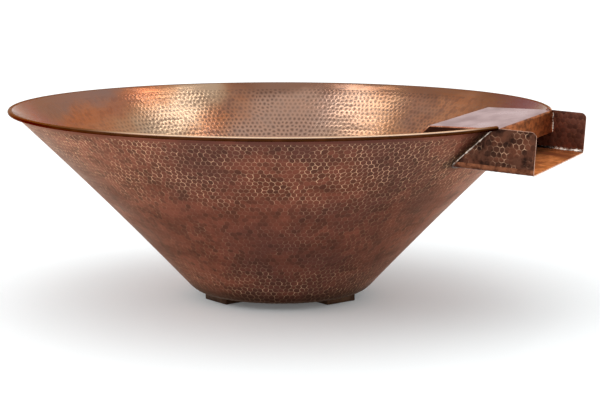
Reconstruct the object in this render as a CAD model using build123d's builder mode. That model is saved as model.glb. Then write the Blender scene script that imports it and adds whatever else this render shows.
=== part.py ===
"""Hammered copper spillway bowl: shell, spillway channel, covered outlet duct, inlet and lift-off diffuser."""

import os
from math import asin, atan2, copysign, cos, degrees, hypot, pi, radians, sin, sqrt, tan

from build123d import *

os.makedirs("parts", exist_ok=True)

# Sheet and clearances
sheet = 1.6
weld_gap = 0.15
wire_gap = 0.35
slip_gap = 0.3

# Bowl
rim_radius = 394.0
bowl_height = 271.5
base_corner_radius = 126.0
knuckle_radius = 27.0
wall_angle_at_rim = 44.0
roll_inner_radius = 1.4
rim_flat = 1.2
roll_turn = 240.0

# Feet
foot_side = 52.0
foot_height = 10.0
foot_circle_radius = 84.5
foot_count = 3
foot_first_bearing = -7.0
foot_turn = 62.0
foot_edge_radius = 1.5

# Spillway channel
trough_width = 264.6
trough_side_height = 58.0
trough_tilt = 3.3
trough_bend_radius = 6.0
trough_corner_radius = 8.0
trough_overhang = 25.6
trough_lip_drop = 64.1
trough_blank_spare = 32.0

# Hood over the outlet
apron_setback = 21.0
apron_bottom_drop = 35.2
hood_top_drop = 3.4
hood_depth = 98.0
baffle_drop = 62.0
hood_bend_radius = 3.5

# Weld beads
trough_weld_radius = 3.2
apron_weld_radius = 2.0
hood_weld_radius = 2.5
inlet_weld_leg = 4.0

# Inlet coupling, for a 1 1/2 inch pipe thread
coupling_radius = 30.0
coupling_bore_radius = 21.85
coupling_ground_gap = 1.0
coupling_top_above_base = 36.0
coupling_chamfer = 1.5

# Diffuser
collar_wall = 3.0
collar_height = 14.0
collar_ledge_thickness = 2.0
collar_ledge_inner_radius = 24.0
post_count = 3
post_radius = 3.0
post_length = 25.0
disc_radius = 60.0
disc_edge_height = 8.0
disc_bend_radius = 5.0
rivet_head_radius = 5.0
rivet_head_height = 2.4
rivet_head_rounding = 2.0
rivet_radius = 2.0

# Derived sizes of the shell
rim_top_z = foot_height + bowl_height
base_top_z = foot_height + sheet
base_hole_radius = coupling_radius + weld_gap
roll_outer_radius = roll_inner_radius + sheet
roll_r = rim_radius - roll_outer_radius
roll_z = rim_top_z - roll_outer_radius
weld_top_z = roll_z - roll_outer_radius
rim_slope_sin = sin(radians(wall_angle_at_rim))
rim_slope_cos = cos(radians(wall_angle_at_rim))
up_the_wall = (rim_slope_cos, rim_slope_sin)
down_the_wall = (-rim_slope_cos, -rim_slope_sin)
wall_top = (
    roll_r - rim_flat - roll_inner_radius * rim_slope_sin,
    roll_z + roll_inner_radius * rim_slope_cos,
)
wall_top_inside = (wall_top[0] - sheet * rim_slope_sin, wall_top[1] + sheet * rim_slope_cos)
wall_foot = (base_corner_radius, foot_height)
wall_run = wall_top[0] - wall_foot[0]
wall_rise = wall_top[1] - wall_foot[1]
wall_bend = atan2(wall_rise, wall_run) - radians(wall_angle_at_rim)
wall_arc_radius = hypot(wall_run, wall_rise) / 2 / sin(wall_bend)
wall_arc_r = wall_top[0] + wall_arc_radius * rim_slope_sin
wall_arc_z = wall_top[1] - wall_arc_radius * rim_slope_cos


def wall_radius(height, depth=0.0):
    """Radius of the wall at a height, at a depth below its outer surface."""
    reach = sqrt((wall_arc_radius + depth) ** 2 - (height - wall_arc_z) ** 2)
    return wall_arc_r - copysign(reach, wall_arc_radius)


wall_foot_inside = (wall_radius(base_top_z, sheet), base_top_z)

# Derived sizes of the spillway
trough_half = trough_width / 2
duct_half = trough_half - sheet
tilt_sin = sin(radians(trough_tilt))
tilt_cos = cos(radians(trough_tilt))
trough_front_x = rim_radius + trough_overhang
trough_front_z = rim_top_z - trough_lip_drop
trough_front = (trough_front_x, 0, trough_front_z)
spout_plane = Plane(origin=trough_front, x_dir=(0, 1, 0), z_dir=(tilt_cos, 0, -tilt_sin))
spout_side_plane = Plane(origin=trough_front, x_dir=(tilt_cos, 0, -tilt_sin), z_dir=(0, -1, 0))
trough_bend_inside = trough_bend_radius - sheet
notch_height = 2 * trough_side_height
trim_top_z = rim_top_z + trough_side_height


def floor_height(x):
    """Height of the underside of the channel's floor at a distance from the bowl's axis."""
    return trough_front_z + (trough_front_x - x) * tilt_sin / tilt_cos


def wall_x(height, y, depth=0.0):
    """Distance from the bowl's middle plane to the wall at a height, in the plane at y."""
    return sqrt(wall_radius(height, depth) ** 2 - y**2)


trough_blank_length = trough_front_x - wall_x(trough_front_z, trough_half) + trough_blank_spare

# Derived sizes of the hood
apron_x = rim_radius - apron_setback
apron_bottom_z = rim_top_z - apron_bottom_drop
hood_inner_x = apron_x - hood_depth
hood_top_z = rim_top_z - hood_top_drop
baffle_end = (
    hood_inner_x - baffle_drop * rim_slope_cos / rim_slope_sin,
    hood_top_z - baffle_drop,
)
hood_mid_corner = (hood_inner_x + sheet / 2 * tan(radians(wall_angle_at_rim / 2)), hood_top_z - sheet / 2)
baffle_mid_end = (baffle_end[0] + sheet / 2 * rim_slope_sin, baffle_end[1] - sheet / 2 * rim_slope_cos)

# Derived sizes of the weld beads
first_corner_z = floor_height(wall_x(trough_front_z, trough_half))
trough_corner_z = floor_height(wall_x(first_corner_z, trough_half))
trough_weld_corner = Vector(wall_x(trough_corner_z, trough_half), -trough_half, trough_corner_z)
trough_weld_run = Vector(wall_x(weld_top_z, trough_half), -trough_half, weld_top_z) - trough_weld_corner
trough_weld_length = trough_weld_run.length
trough_weld_plane = Plane(origin=trough_weld_corner, z_dir=trough_weld_run)
floor_weld_z = (floor_height(wall_radius(trough_corner_z)) + trough_corner_z) / 2
floor_weld_half_angle = asin(trough_half / wall_radius(floor_weld_z))
floor_weld_plane = Plane(
    origin=(0, 0, 0),
    x_dir=(cos(floor_weld_half_angle), -sin(floor_weld_half_angle), 0),
    z_dir=(-sin(floor_weld_half_angle), -cos(floor_weld_half_angle), 0),
)
apron_weld_length = hood_top_z - hood_bend_radius - apron_bottom_z
hood_weld_start = Vector(wall_x(baffle_end[1], duct_half, sheet), -duct_half, baffle_end[1])
hood_weld_run = Vector(wall_x(weld_top_z, duct_half, sheet), -duct_half, weld_top_z) - hood_weld_start
hood_weld_length = hood_weld_run.length
hood_weld_plane = Plane(origin=hood_weld_start, z_dir=hood_weld_run)

# Derived places of the feet
foot_step = 360.0 / foot_count
foot_bearings = [radians(foot_first_bearing + foot_step * i) for i in range(foot_count)]
foot_places = [
    Location((foot_circle_radius * cos(b), foot_circle_radius * sin(b), 0), (0, 0, foot_turn))
    for b in foot_bearings
]

# Derived sizes of the inlet and diffuser
coupling_top_z = foot_height + coupling_top_above_base
collar_inner_radius = coupling_radius + slip_gap
collar_outer_radius = collar_inner_radius + collar_wall
collar_top_z = coupling_top_z + collar_ledge_thickness
post_circle_radius = (collar_ledge_inner_radius + collar_outer_radius) / 2
post_step = 2 * pi / post_count
post_places = [
    (post_circle_radius * cos(post_step * i), post_circle_radius * sin(post_step * i))
    for i in range(post_count)
]
disc_top_z = collar_top_z + post_length + sheet

# Full bowl volume inside the outer surface, for trimming what is welded on from outside
with BuildPart() as bowl_volume:
    with BuildSketch(Plane.XZ):
        with BuildLine():
            Line((0, foot_height), wall_foot)
            TangentArc(wall_top, wall_foot, tangent=down_the_wall)
            Polyline(wall_top, (wall_top[0], trim_top_z), (0, trim_top_z), (0, foot_height))
        make_face()
    revolve(axis=Axis.Z)
    with BuildSketch(Plane.XZ):
        with Locations((roll_r, roll_z)):
            Circle(roll_outer_radius)
        with Locations((roll_r, weld_top_z)):
            Rectangle(
                roll_r - wall_radius(weld_top_z, sheet),
                trim_top_z - weld_top_z,
                align=(Align.MAX, Align.MIN),
            )
    revolve(axis=Axis.Z)

# Space inside the bowl's inner surface, for trimming what is welded on from inside
with BuildPart() as bowl_space:
    with BuildSketch(Plane.XZ):
        with BuildLine():
            Line((0, wall_foot_inside[1]), wall_foot_inside)
            TangentArc(wall_top_inside, wall_foot_inside, tangent=down_the_wall)
            Polyline(wall_top_inside, (0, wall_top_inside[1]), (0, wall_foot_inside[1]))
        make_face()
    revolve(axis=Axis.Z)

# Opening that the outlet needs through wall and rim
with BuildPart() as notch:
    with BuildSketch(spout_plane):
        with BuildLine():
            outline = FilletPolyline(
                (-duct_half, notch_height),
                (-duct_half, sheet),
                (duct_half, sheet),
                (duct_half, notch_height),
                radius=trough_bend_inside,
            )
            Line(outline @ 1, outline @ 0)
        make_face()
    extrude(amount=-trough_blank_length)

# Channel filled solid, for trimming its weld beads
with BuildPart() as trough_block:
    with BuildSketch(spout_plane):
        with BuildLine():
            outline = FilletPolyline(
                (-trough_half, trough_side_height),
                (-trough_half, 0),
                (trough_half, 0),
                (trough_half, trough_side_height),
                radius=trough_bend_radius,
            )
            Line(outline @ 1, outline @ 0)
        make_face()
    extrude(amount=-trough_blank_length)

# Bowl shell: base, rounded corner, wall and rolled rim from one sheet
with BuildPart() as bowl_shell:
    with BuildSketch(Plane.XZ) as shell_profile:
        with BuildLine():
            Line((base_hole_radius, foot_height), wall_foot)
            TangentArc(wall_top, wall_foot, tangent=down_the_wall)
            bend_in = JernArc(wall_top, up_the_wall, roll_inner_radius, -wall_angle_at_rim)
            flat_in = Line(bend_in @ 1, bend_in @ 1 + Vector(rim_flat, 0))
            roll_in = JernArc(flat_in @ 1, (1, 0), roll_inner_radius, -roll_turn)
            bend_out = JernArc(wall_top_inside, up_the_wall, roll_outer_radius, -wall_angle_at_rim)
            flat_out = Line(bend_out @ 1, bend_out @ 1 + Vector(rim_flat, 0))
            roll_out = JernArc(flat_out @ 1, (1, 0), roll_outer_radius, -roll_turn)
            Line(roll_in @ 1, roll_out @ 1)
            TangentArc(wall_top_inside, wall_foot_inside, tangent=down_the_wall)
            Polyline(wall_foot_inside, (base_hole_radius, base_top_z), (base_hole_radius, foot_height))
        make_face()
        corners = shell_profile.vertices()
        fillet(corners.sort_by_distance((*wall_foot, 0))[0], knuckle_radius)
        corners = shell_profile.vertices()
        fillet(corners.sort_by_distance((*wall_foot_inside, 0))[0], knuckle_radius - sheet)
    revolve(axis=Axis.Z)
    add(notch.part, mode=Mode.SUBTRACT)
bowl_shell.part.label = "bowl_shell"
export_step(bowl_shell.part, "parts/bowl_shell.step")

# Rim wire inside the roll, open at the outlet
with BuildPart() as rim_wire:
    with BuildSketch(Plane.XZ):
        with Locations((roll_r, roll_z)):
            Circle(roll_inner_radius - wire_gap)
    revolve(axis=Axis.Z)
    add(notch.part, mode=Mode.SUBTRACT)
rim_wire.part.label = "rim_wire"
export_step(rim_wire.part, "parts/rim_wire.step")

# Spillway channel
with BuildPart() as spout_trough:
    with BuildSketch(spout_plane):
        with BuildLine():
            FilletPolyline(
                (-trough_half, trough_side_height),
                (-trough_half, 0),
                (trough_half, 0),
                (trough_half, trough_side_height),
                radius=trough_bend_radius,
            )
            offset(amount=sheet, side=Side.LEFT)
        make_face()
    extrude(amount=-trough_blank_length)
    with BuildSketch(spout_side_plane) as side_outline:
        Rectangle(trough_blank_length, trough_side_height, align=(Align.MAX, Align.MIN))
        front_corners = side_outline.vertices().sort_by(Axis.X)[-2:]
        fillet(front_corners.sort_by(Axis.Y)[-1], trough_corner_radius)
    extrude(amount=trough_width, both=True, mode=Mode.INTERSECT)
    add(bowl_volume.part, mode=Mode.SUBTRACT)
spout_trough.part.label = "spout_trough"
export_step(spout_trough.part, "parts/spout_trough.step")

# Hood: apron, flat top and baffle folded from one sheet
with BuildPart() as spout_hood:
    with BuildSketch(Plane.XZ):
        with BuildLine():
            FilletPolyline(
                (apron_x, apron_bottom_z),
                (apron_x, hood_top_z),
                (hood_inner_x, hood_top_z),
                baffle_end,
                radius=hood_bend_radius,
            )
            offset(amount=sheet, side=Side.LEFT)
        make_face()
    extrude(amount=duct_half, both=True)
spout_hood.part.label = "spout_hood"
export_step(spout_hood.part, "parts/spout_hood.step")

# Side plates of the duct, under the hood and up to the bowl's inside
with BuildPart() as cheek_near:
    with BuildSketch(Plane.XZ.offset(duct_half)):
        with BuildLine():
            Polyline(
                baffle_mid_end,
                hood_mid_corner,
                (apron_x, hood_mid_corner[1]),
                (apron_x, baffle_mid_end[1]),
                close=True,
            )
        make_face()
    extrude(amount=-sheet)
    add(bowl_space.part, mode=Mode.INTERSECT)
    add(spout_hood.part, mode=Mode.SUBTRACT)
cheek_near.part.label = "cheek_near"
export_step(cheek_near.part, "parts/cheek_near.step")

with BuildPart() as cheek_far:
    add(cheek_near.part)
    mirror(about=Plane.XZ, mode=Mode.REPLACE)
cheek_far.part.label = "cheek_far"
export_step(cheek_far.part, "parts/cheek_far.step")

# Weld bead around the channel, on the outside of the bowl
with BuildPart() as side_bead:
    with BuildSketch(trough_weld_plane):
        Circle(trough_weld_radius)
    extrude(amount=trough_weld_length)
    add(bowl_volume.part, mode=Mode.SUBTRACT)
    add(trough_block.part, mode=Mode.SUBTRACT)

with BuildPart() as floor_bead:
    with BuildSketch(floor_weld_plane):
        with Locations((wall_radius(floor_weld_z), floor_weld_z)):
            Circle(trough_weld_radius)
    revolve(axis=Axis.Z, revolution_arc=degrees(2 * floor_weld_half_angle))
    add(bowl_volume.part, mode=Mode.SUBTRACT)
    add(trough_block.part, mode=Mode.SUBTRACT)

with BuildPart() as trough_weld:
    add(side_bead.part)
    mirror(about=Plane.XZ)
    add(floor_bead.part)
trough_weld.part.label = "trough_weld"
export_step(trough_weld.part, "parts/trough_weld.step")

# Weld beads between the apron and the channel's sides
with BuildPart() as apron_weld_near:
    with BuildSketch(Plane.XY.offset(apron_bottom_z)):
        with Locations((apron_x, -duct_half)):
            Circle(apron_weld_radius)
            Rectangle(
                apron_weld_radius, apron_weld_radius, align=(Align.MIN, Align.MIN), mode=Mode.INTERSECT
            )
    extrude(amount=apron_weld_length)
apron_weld_near.part.label = "apron_weld_near"
export_step(apron_weld_near.part, "parts/apron_weld_near.step")

with BuildPart() as apron_weld_far:
    add(apron_weld_near.part)
    mirror(about=Plane.XZ, mode=Mode.REPLACE)
apron_weld_far.part.label = "apron_weld_far"
export_step(apron_weld_far.part, "parts/apron_weld_far.step")

# Weld beads between the duct's side plates and the bowl's inside
with BuildPart() as hood_weld_near:
    with BuildSketch(hood_weld_plane):
        Circle(hood_weld_radius)
    extrude(amount=hood_weld_length)
    add(bowl_space.part, mode=Mode.INTERSECT)
    with Locations((0, -duct_half, 0)):
        Box(
            2 * rim_radius,
            trough_width,
            2 * rim_top_z,
            align=(Align.CENTER, Align.MIN, Align.CENTER),
            mode=Mode.SUBTRACT,
        )
hood_weld_near.part.label = "hood_weld_near"
export_step(hood_weld_near.part, "parts/hood_weld_near.step")

with BuildPart() as hood_weld_far:
    add(hood_weld_near.part)
    mirror(about=Plane.XZ, mode=Mode.REPLACE)
hood_weld_far.part.label = "hood_weld_far"
export_step(hood_weld_far.part, "parts/hood_weld_far.step")

# Inlet coupling through the base
with BuildPart() as inlet_coupling:
    with BuildSketch(Plane.XY.offset(coupling_ground_gap)):
        Circle(coupling_radius)
        Circle(coupling_bore_radius, mode=Mode.SUBTRACT)
    extrude(amount=coupling_top_z - coupling_ground_gap)
    chamfer(inlet_coupling.edges().filter_by(GeomType.CIRCLE), coupling_chamfer)
inlet_coupling.part.label = "inlet_coupling"
export_step(inlet_coupling.part, "parts/inlet_coupling.step")

# Weld bead around the coupling, on the base's inside
with BuildPart() as inlet_weld:
    with BuildSketch(Plane.XZ):
        with BuildLine():
            Polyline(
                (base_hole_radius, base_top_z),
                (base_hole_radius + inlet_weld_leg, base_top_z),
                (base_hole_radius, base_top_z + inlet_weld_leg),
                close=True,
            )
        make_face()
    revolve(axis=Axis.Z)
inlet_weld.part.label = "inlet_weld"
export_step(inlet_weld.part, "parts/inlet_weld.step")

# Feet
with BuildPart() as foot_front:
    with Locations(foot_places[0]):
        Box(foot_side, foot_side, foot_height, align=(Align.CENTER, Align.CENTER, Align.MIN))
    fillet(foot_front.edges().filter_by(Axis.Z), foot_edge_radius)
foot_front.part.label = "foot_front"
export_step(foot_front.part, "parts/foot_front.step")

with BuildPart() as foot_back:
    with Locations(foot_places[1]):
        Box(foot_side, foot_side, foot_height, align=(Align.CENTER, Align.CENTER, Align.MIN))
    fillet(foot_back.edges().filter_by(Axis.Z), foot_edge_radius)
foot_back.part.label = "foot_back"
export_step(foot_back.part, "parts/foot_back.step")

with BuildPart() as foot_left:
    with Locations(foot_places[2]):
        Box(foot_side, foot_side, foot_height, align=(Align.CENTER, Align.CENTER, Align.MIN))
    fillet(foot_left.edges().filter_by(Axis.Z), foot_edge_radius)
foot_left.part.label = "foot_left"
export_step(foot_left.part, "parts/foot_left.step")

# Diffuser collar, slipped over the coupling and resting on its top by an inner ledge
with BuildPart() as diffuser_collar:
    with BuildSketch(Plane.XZ):
        with BuildLine():
            Polyline(
                (collar_inner_radius, collar_top_z - collar_height),
                (collar_outer_radius, collar_top_z - collar_height),
                (collar_outer_radius, collar_top_z),
                (collar_ledge_inner_radius, collar_top_z),
                (collar_ledge_inner_radius, coupling_top_z),
                (collar_inner_radius, coupling_top_z),
                close=True,
            )
        make_face()
    revolve(axis=Axis.Z)
diffuser_collar.part.label = "diffuser_collar"
export_step(diffuser_collar.part, "parts/diffuser_collar.step")

# Diffuser posts
with BuildPart() as diffuser_post_1:
    with BuildSketch(Plane.XY.offset(collar_top_z)):
        with Locations(post_places[0]):
            Circle(post_radius)
    extrude(amount=post_length)
diffuser_post_1.part.label = "diffuser_post_1"
export_step(diffuser_post_1.part, "parts/diffuser_post_1.step")

with BuildPart() as diffuser_post_2:
    with BuildSketch(Plane.XY.offset(collar_top_z)):
        with Locations(post_places[1]):
            Circle(post_radius)
    extrude(amount=post_length)
diffuser_post_2.part.label = "diffuser_post_2"
export_step(diffuser_post_2.part, "parts/diffuser_post_2.step")

with BuildPart() as diffuser_post_3:
    with BuildSketch(Plane.XY.offset(collar_top_z)):
        with Locations(post_places[2]):
            Circle(post_radius)
    extrude(amount=post_length)
diffuser_post_3.part.label = "diffuser_post_3"
export_step(diffuser_post_3.part, "parts/diffuser_post_3.step")

# Diffuser disc with a turned-down edge
with BuildPart() as diffuser_disc:
    with BuildSketch(Plane.XZ):
        with BuildLine():
            FilletPolyline(
                (0, disc_top_z),
                (disc_radius, disc_top_z),
                (disc_radius, disc_top_z - disc_edge_height),
                radius=disc_bend_radius,
            )
            offset(amount=sheet, side=Side.RIGHT)
        make_face()
    revolve(axis=Axis.Z)
    with BuildSketch(Plane.XY.offset(disc_top_z)):
        with Locations(post_places):
            Circle(rivet_radius + weld_gap)
    extrude(amount=-sheet, mode=Mode.SUBTRACT)
diffuser_disc.part.label = "diffuser_disc"
export_step(diffuser_disc.part, "parts/diffuser_disc.step")

# Rivets that hold the disc on the posts
with BuildPart() as diffuser_rivets:
    with BuildSketch(Plane.XY.offset(disc_top_z)):
        with Locations(post_places):
            Circle(rivet_head_radius)
    extrude(amount=rivet_head_height)
    fillet(diffuser_rivets.edges().group_by(Axis.Z)[-1], rivet_head_rounding)
    with BuildSketch(Plane.XY.offset(disc_top_z)):
        with Locations(post_places):
            Circle(rivet_radius)
    extrude(amount=-sheet)
diffuser_rivets.part.label = "diffuser_rivets"
export_step(diffuser_rivets.part, "parts/diffuser_rivets.step")
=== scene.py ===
"""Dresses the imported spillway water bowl: hammered copper, welds, inlet and feet, in a plain studio."""

import logging
import math
import random
from collections.abc import Callable, Sequence
from dataclasses import KW_ONLY, dataclass
from enum import Enum

import bmesh
import bpy
from bmesh.types import BMFace
from bpy.types import Material, Mesh, Node, NodeSocket, NodeTree, Object
from mathutils import Matrix, Vector


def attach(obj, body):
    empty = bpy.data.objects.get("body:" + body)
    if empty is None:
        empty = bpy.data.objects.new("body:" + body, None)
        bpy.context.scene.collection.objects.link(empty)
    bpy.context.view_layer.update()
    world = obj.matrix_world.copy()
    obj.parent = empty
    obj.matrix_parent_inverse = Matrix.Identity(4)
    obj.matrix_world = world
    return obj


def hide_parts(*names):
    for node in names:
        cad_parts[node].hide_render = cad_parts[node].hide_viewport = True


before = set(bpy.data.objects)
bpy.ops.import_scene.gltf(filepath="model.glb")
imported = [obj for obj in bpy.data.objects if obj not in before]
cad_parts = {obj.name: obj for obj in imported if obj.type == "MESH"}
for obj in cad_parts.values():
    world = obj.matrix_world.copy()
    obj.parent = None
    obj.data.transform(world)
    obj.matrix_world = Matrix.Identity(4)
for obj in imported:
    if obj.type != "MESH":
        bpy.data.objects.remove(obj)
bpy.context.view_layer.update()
log = logging.getLogger("spillway_bowl")

MM = 0.001
# Room for rounding errors in metres, for lengths that are worked out and for places read back from a mesh
ROUNDING, MESH_ROUNDING = 1e-9, 1e-6
# Corners of a turned helper shape that stays round enough to trim or guide a sheet
ROUND = 360
# Noise values: the two that the roughness runs between, and the mean
NOISE_LOW, NOISE_HIGH, NOISE_MEAN = 0.3, 0.7, 0.5
Pair = tuple[float, float]
Triple = tuple[float, float, float]
Profile = list[Pair]


class Pick(Enum):
    """What a selection is made of."""

    VERT = "VERT"
    EDGE = "EDGE"
    FACE = "FACE"


class Side(Enum):
    """Side of the spillway, by its sign on the y axis."""

    NEAR = -1
    FAR = 1


class Tone(Enum):
    """Where a hammer mark carries its second tone."""

    RIDGE = "ridge"
    PIT = "pit"


class Body(Enum):
    """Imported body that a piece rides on."""

    BOWL = "bowl"
    DIFFUSER = "diffuser"


# Modelling helpers


def spaced(start: float, end: float, steps: int) -> list[float]:
    """Evenly spaced values from a start to an end, one more than there are steps."""
    return [start + (end - start) * i / steps for i in range(steps + 1)]


def middle(face: BMFace) -> Vector:
    """Middle of a face."""
    return face.calc_center_median()


def pick(obj: Object, kind: Pick, test: Callable[..., bool]) -> None:
    """Selects the elements of a mesh in edit mode that pass a test.

    Args:
        obj: Object in edit mode.
        kind: Vertices, edges or faces.
        test: Says whether an element is wanted.
    """
    bpy.ops.mesh.select_mode(type=kind.value)
    bpy.ops.mesh.select_all(action="DESELECT")
    mesh = bmesh.from_edit_mesh(obj.data)
    parts = {Pick.VERT: mesh.verts, Pick.EDGE: mesh.edges, Pick.FACE: mesh.faces}[kind]
    for part in [part for part in parts if test(part)]:
        part.select_set(True)
    mesh.select_flush_mode()
    bmesh.update_edit_mesh(obj.data)


def whole() -> None:
    """Selects the whole mesh in edit mode."""
    bpy.ops.mesh.select_all(action="SELECT")


def nothing() -> None:
    """Deselects all objects."""
    bpy.ops.object.select_all(action="DESELECT")


def only(obj: Object) -> None:
    """Selects one object alone and makes it the active one.

    Args:
        obj: The object.
    """
    nothing()
    obj.select_set(True)
    bpy.context.view_layer.objects.active = obj


def mode(name: str) -> None:
    """Switches the active object to a mode."""
    bpy.ops.object.mode_set(mode=name)


def named(name: str) -> Object:
    """Names the active object and its mesh.

    Args:
        name: The name.

    Returns:
        The active object.
    """
    obj = bpy.context.object
    obj.name = obj.data.name = name
    return obj


def settle(obj: Object, place: Sequence[float], angle: float, axis: str) -> None:
    """Turns an object, moves it and puts that into its mesh.

    Args:
        obj: Object to turn and move.
        place: Where it goes.
        angle: Degrees that it turns by.
        axis: Axis that it turns about.
    """
    obj.matrix_world = Matrix.Translation(place) @ Matrix.Rotation(math.radians(angle), 4, axis)
    only(obj)
    bpy.ops.object.transform_apply(location=True, rotation=True, scale=True)


def join(obj: Object, part: Object) -> None:
    """Joins a second object into a first one.

    Args:
        obj: The first object, which stays.
        part: The second one, which goes into it.
    """
    only(obj)
    part.select_set(True)
    bpy.ops.object.join()


def cut(point: Sequence[float], normal: Sequence[float], clear: bool = False) -> None:
    """Cuts the whole mesh in edit mode along a plane, and may clear what lies beyond it."""
    whole()
    bpy.ops.mesh.bisect(plane_co=point, plane_no=normal, clear_outer=clear)


def apply_modifier(obj: Object, kind: str, **settings: object) -> None:
    """Adds a modifier to an object, sets it and applies it.

    Args:
        obj: Object in object mode.
        kind: Modifier type.
        settings: Values of its properties.
    """
    bpy.context.view_layer.objects.active = obj
    modifier = obj.modifiers.new(kind.lower(), kind)
    for name, value in settings.items():
        setattr(modifier, name, value)
    bpy.ops.object.modifier_apply(modifier=modifier.name)


def thicken(obj: Object, sheet: float, edge_slot: int) -> None:
    """Gives an open sheet its thickness, with the next finish on its back and a slot for its cut edges."""
    slots = {"material_offset": 1, "material_offset_rim": edge_slot}
    apply_modifier(obj, "SOLIDIFY", thickness=sheet, offset=-1, **slots)


def dress(obj: Object, *finishes: "BareMetal") -> None:
    """Gives an object finishes, one material slot after the other."""
    for finish in finishes:
        obj.data.materials.append(finish.material())


def paint(sheet: Object, finish: "BareMetal", test: Callable[..., bool]) -> None:
    """Gives some faces of a sheet in edit mode a finish of their own.

    Args:
        sheet: The sheet.
        finish: The finish.
        test: Says whether a face gets it.
    """
    dress(sheet, finish)
    pick(sheet, Pick.FACE, test)
    sheet.active_material_index = len(sheet.data.materials) - 1
    bpy.ops.object.material_slot_assign()


def face_away(obj: Object, point: Vector) -> None:
    """Turns the faces of an open sheet in edit mode away from a point.

    Args:
        obj: Object in edit mode.
        point: Point on the side that the faces turn their backs to.
    """
    bpy.ops.mesh.select_mode(type=Pick.FACE.value)
    whole()
    bpy.ops.mesh.normals_make_consistent(inside=False)
    faces = bmesh.from_edit_mesh(obj.data).faces
    if sum((middle(f) - point).dot(f.normal) * f.calc_area() for f in faces) < 0:
        bpy.ops.mesh.flip_normals()


def turn(name: str, profile: Profile, count: int, capped: bool = False) -> Object:
    """Turns a profile about the bowl's axis, ring by ring.

    Args:
        name: Name of the new object.
        profile: Radius and height of each ring.
        count: Corners of a ring.
        capped: Closes the first and last ring with a face.

    Returns:
        The turned object, in object mode.
    """
    nothing()
    radius, height = profile[0]
    fill = "NGON" if capped else "NOTHING"
    bpy.ops.mesh.primitive_circle_add(vertices=count, radius=radius, fill_type=fill)
    obj = named(name)
    mode("EDIT")
    bpy.ops.transform.translate(value=(0, 0, height))
    pick(obj, Pick.EDGE, lambda edge: True)
    for next_radius, next_height in profile[1:]:
        rise = {"value": (0, 0, next_height - height)}
        bpy.ops.mesh.extrude_edges_move(TRANSFORM_OT_translate=rise)
        scale = next_radius / radius
        bpy.ops.transform.resize(value=(scale, scale, 1), center_override=(0, 0, next_height))
        radius, height = next_radius, next_height
    if capped:
        bpy.ops.mesh.edge_face_add()
        whole()
        bpy.ops.mesh.normals_make_consistent(inside=False)
    mode("OBJECT")
    return obj


def fill_between(obj: Object, inner: float, outer: float) -> None:
    """Fills the gap between the open rings that lie between two radii with triangles.

    Args:
        obj: Object in edit mode.
        inner: The smaller radius.
        outer: The larger one.
    """
    pick(
        obj, Pick.EDGE,
        lambda e: len(e.link_faces) < 2 and all(inner < v.co.xy.length < outer for v in e.verts),
    )
    bpy.ops.mesh.fill(use_beauty=True)


def finish_piece(obj: Object, body: Body, nodes: Sequence[str], angle: float = 35.0) -> Object:
    """Shades a finished piece, hangs it on its body's empty and hides the CAD nodes that it stands for.

    Args:
        obj: The piece.
        body: Body that it rides on.
        nodes: CAD nodes that it stands for.
        angle: Edges bent by more than this many degrees stay crisp.

    Returns:
        The same piece.
    """
    only(obj)
    bpy.ops.object.shade_smooth_by_angle(angle=math.radians(angle), keep_sharp_edges=True)
    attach(obj, body.value)
    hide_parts(*nodes)
    return obj


# Finishes


def linear(code: str) -> tuple[float, float, float, float]:
    """Turns an sRGB hex colour into linear values with full alpha.

    Args:
        code: Six hex digits.

    Returns:
        Red, green, blue and alpha.
    """
    values = [int(code[i : i + 2], 16) / 255 for i in (0, 2, 4)]
    red, green, blue = [v / 12.92 if v <= 0.04045 else ((v + 0.055) / 1.055) ** 2.4 for v in values]
    return red, green, blue, 1.0


def feed(tree: NodeTree, node: Node, sockets: dict[int | str, object]) -> None:
    """Sets or links input sockets of a node.

    Args:
        tree: Node tree that holds the node.
        node: The node.
        sockets: Input sockets by name or number, each with a value or the output that feeds it.
    """
    for key, value in sockets.items():
        if isinstance(value, NodeSocket):
            tree.links.new(value, node.inputs[key])
        else:
            node.inputs[key].default_value = value


def add_node(
    tree: NodeTree, kind: str, sockets: dict[int | str, object] | None = None, **settings: object
) -> Node:
    """Adds a node with its settings and links.

    Args:
        tree: Node tree to add to.
        kind: Node type.
        sockets: What its input sockets get, as in feed.
        settings: Values of the node's properties.

    Returns:
        The new node.
    """
    node = tree.nodes.new(kind)
    for name, value in settings.items():
        setattr(node, name, value)
    feed(tree, node, sockets or {})
    return node


def new_material(name: str) -> tuple[Material, NodeTree, Node]:
    """Makes an empty node material.

    Args:
        name: Name of the material.

    Returns:
        The material, its node tree and its Principled shader.
    """
    material = bpy.data.materials.new(name)
    material.use_nodes = True
    tree = material.node_tree
    return material, tree, tree.nodes["Principled BSDF"]


@dataclass(frozen=True)
class Reach:
    """Part of the object that a tone or wear reaches.

    Attributes:
        share: Most of it that shows.
        ranges: Axis, place where it starts and place where it is full, in metres.
    """

    share: float
    ranges: tuple[tuple[str, float, float], ...]

    def mask(self, tree: NodeTree, place: NodeSocket) -> NodeSocket:
        """Builds the share at each place.

        Args:
            tree: Node tree of the material.
            place: Object coordinates.

        Returns:
            Output socket with the share.
        """
        axes = add_node(tree, "ShaderNodeSeparateXYZ", {"Vector": place}).outputs
        share = self.share
        for axis, start, end in self.ranges:
            run = add_node(
                tree, "ShaderNodeMapRange", {"Value": axes[axis], "From Min": start, "From Max": end},
                interpolation_type="SMOOTHSTEP",
            ).outputs["Result"]
            share = add_node(tree, "ShaderNodeMath", {0: run, 1: share}, operation="MULTIPLY").outputs[0]
        return share


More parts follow.
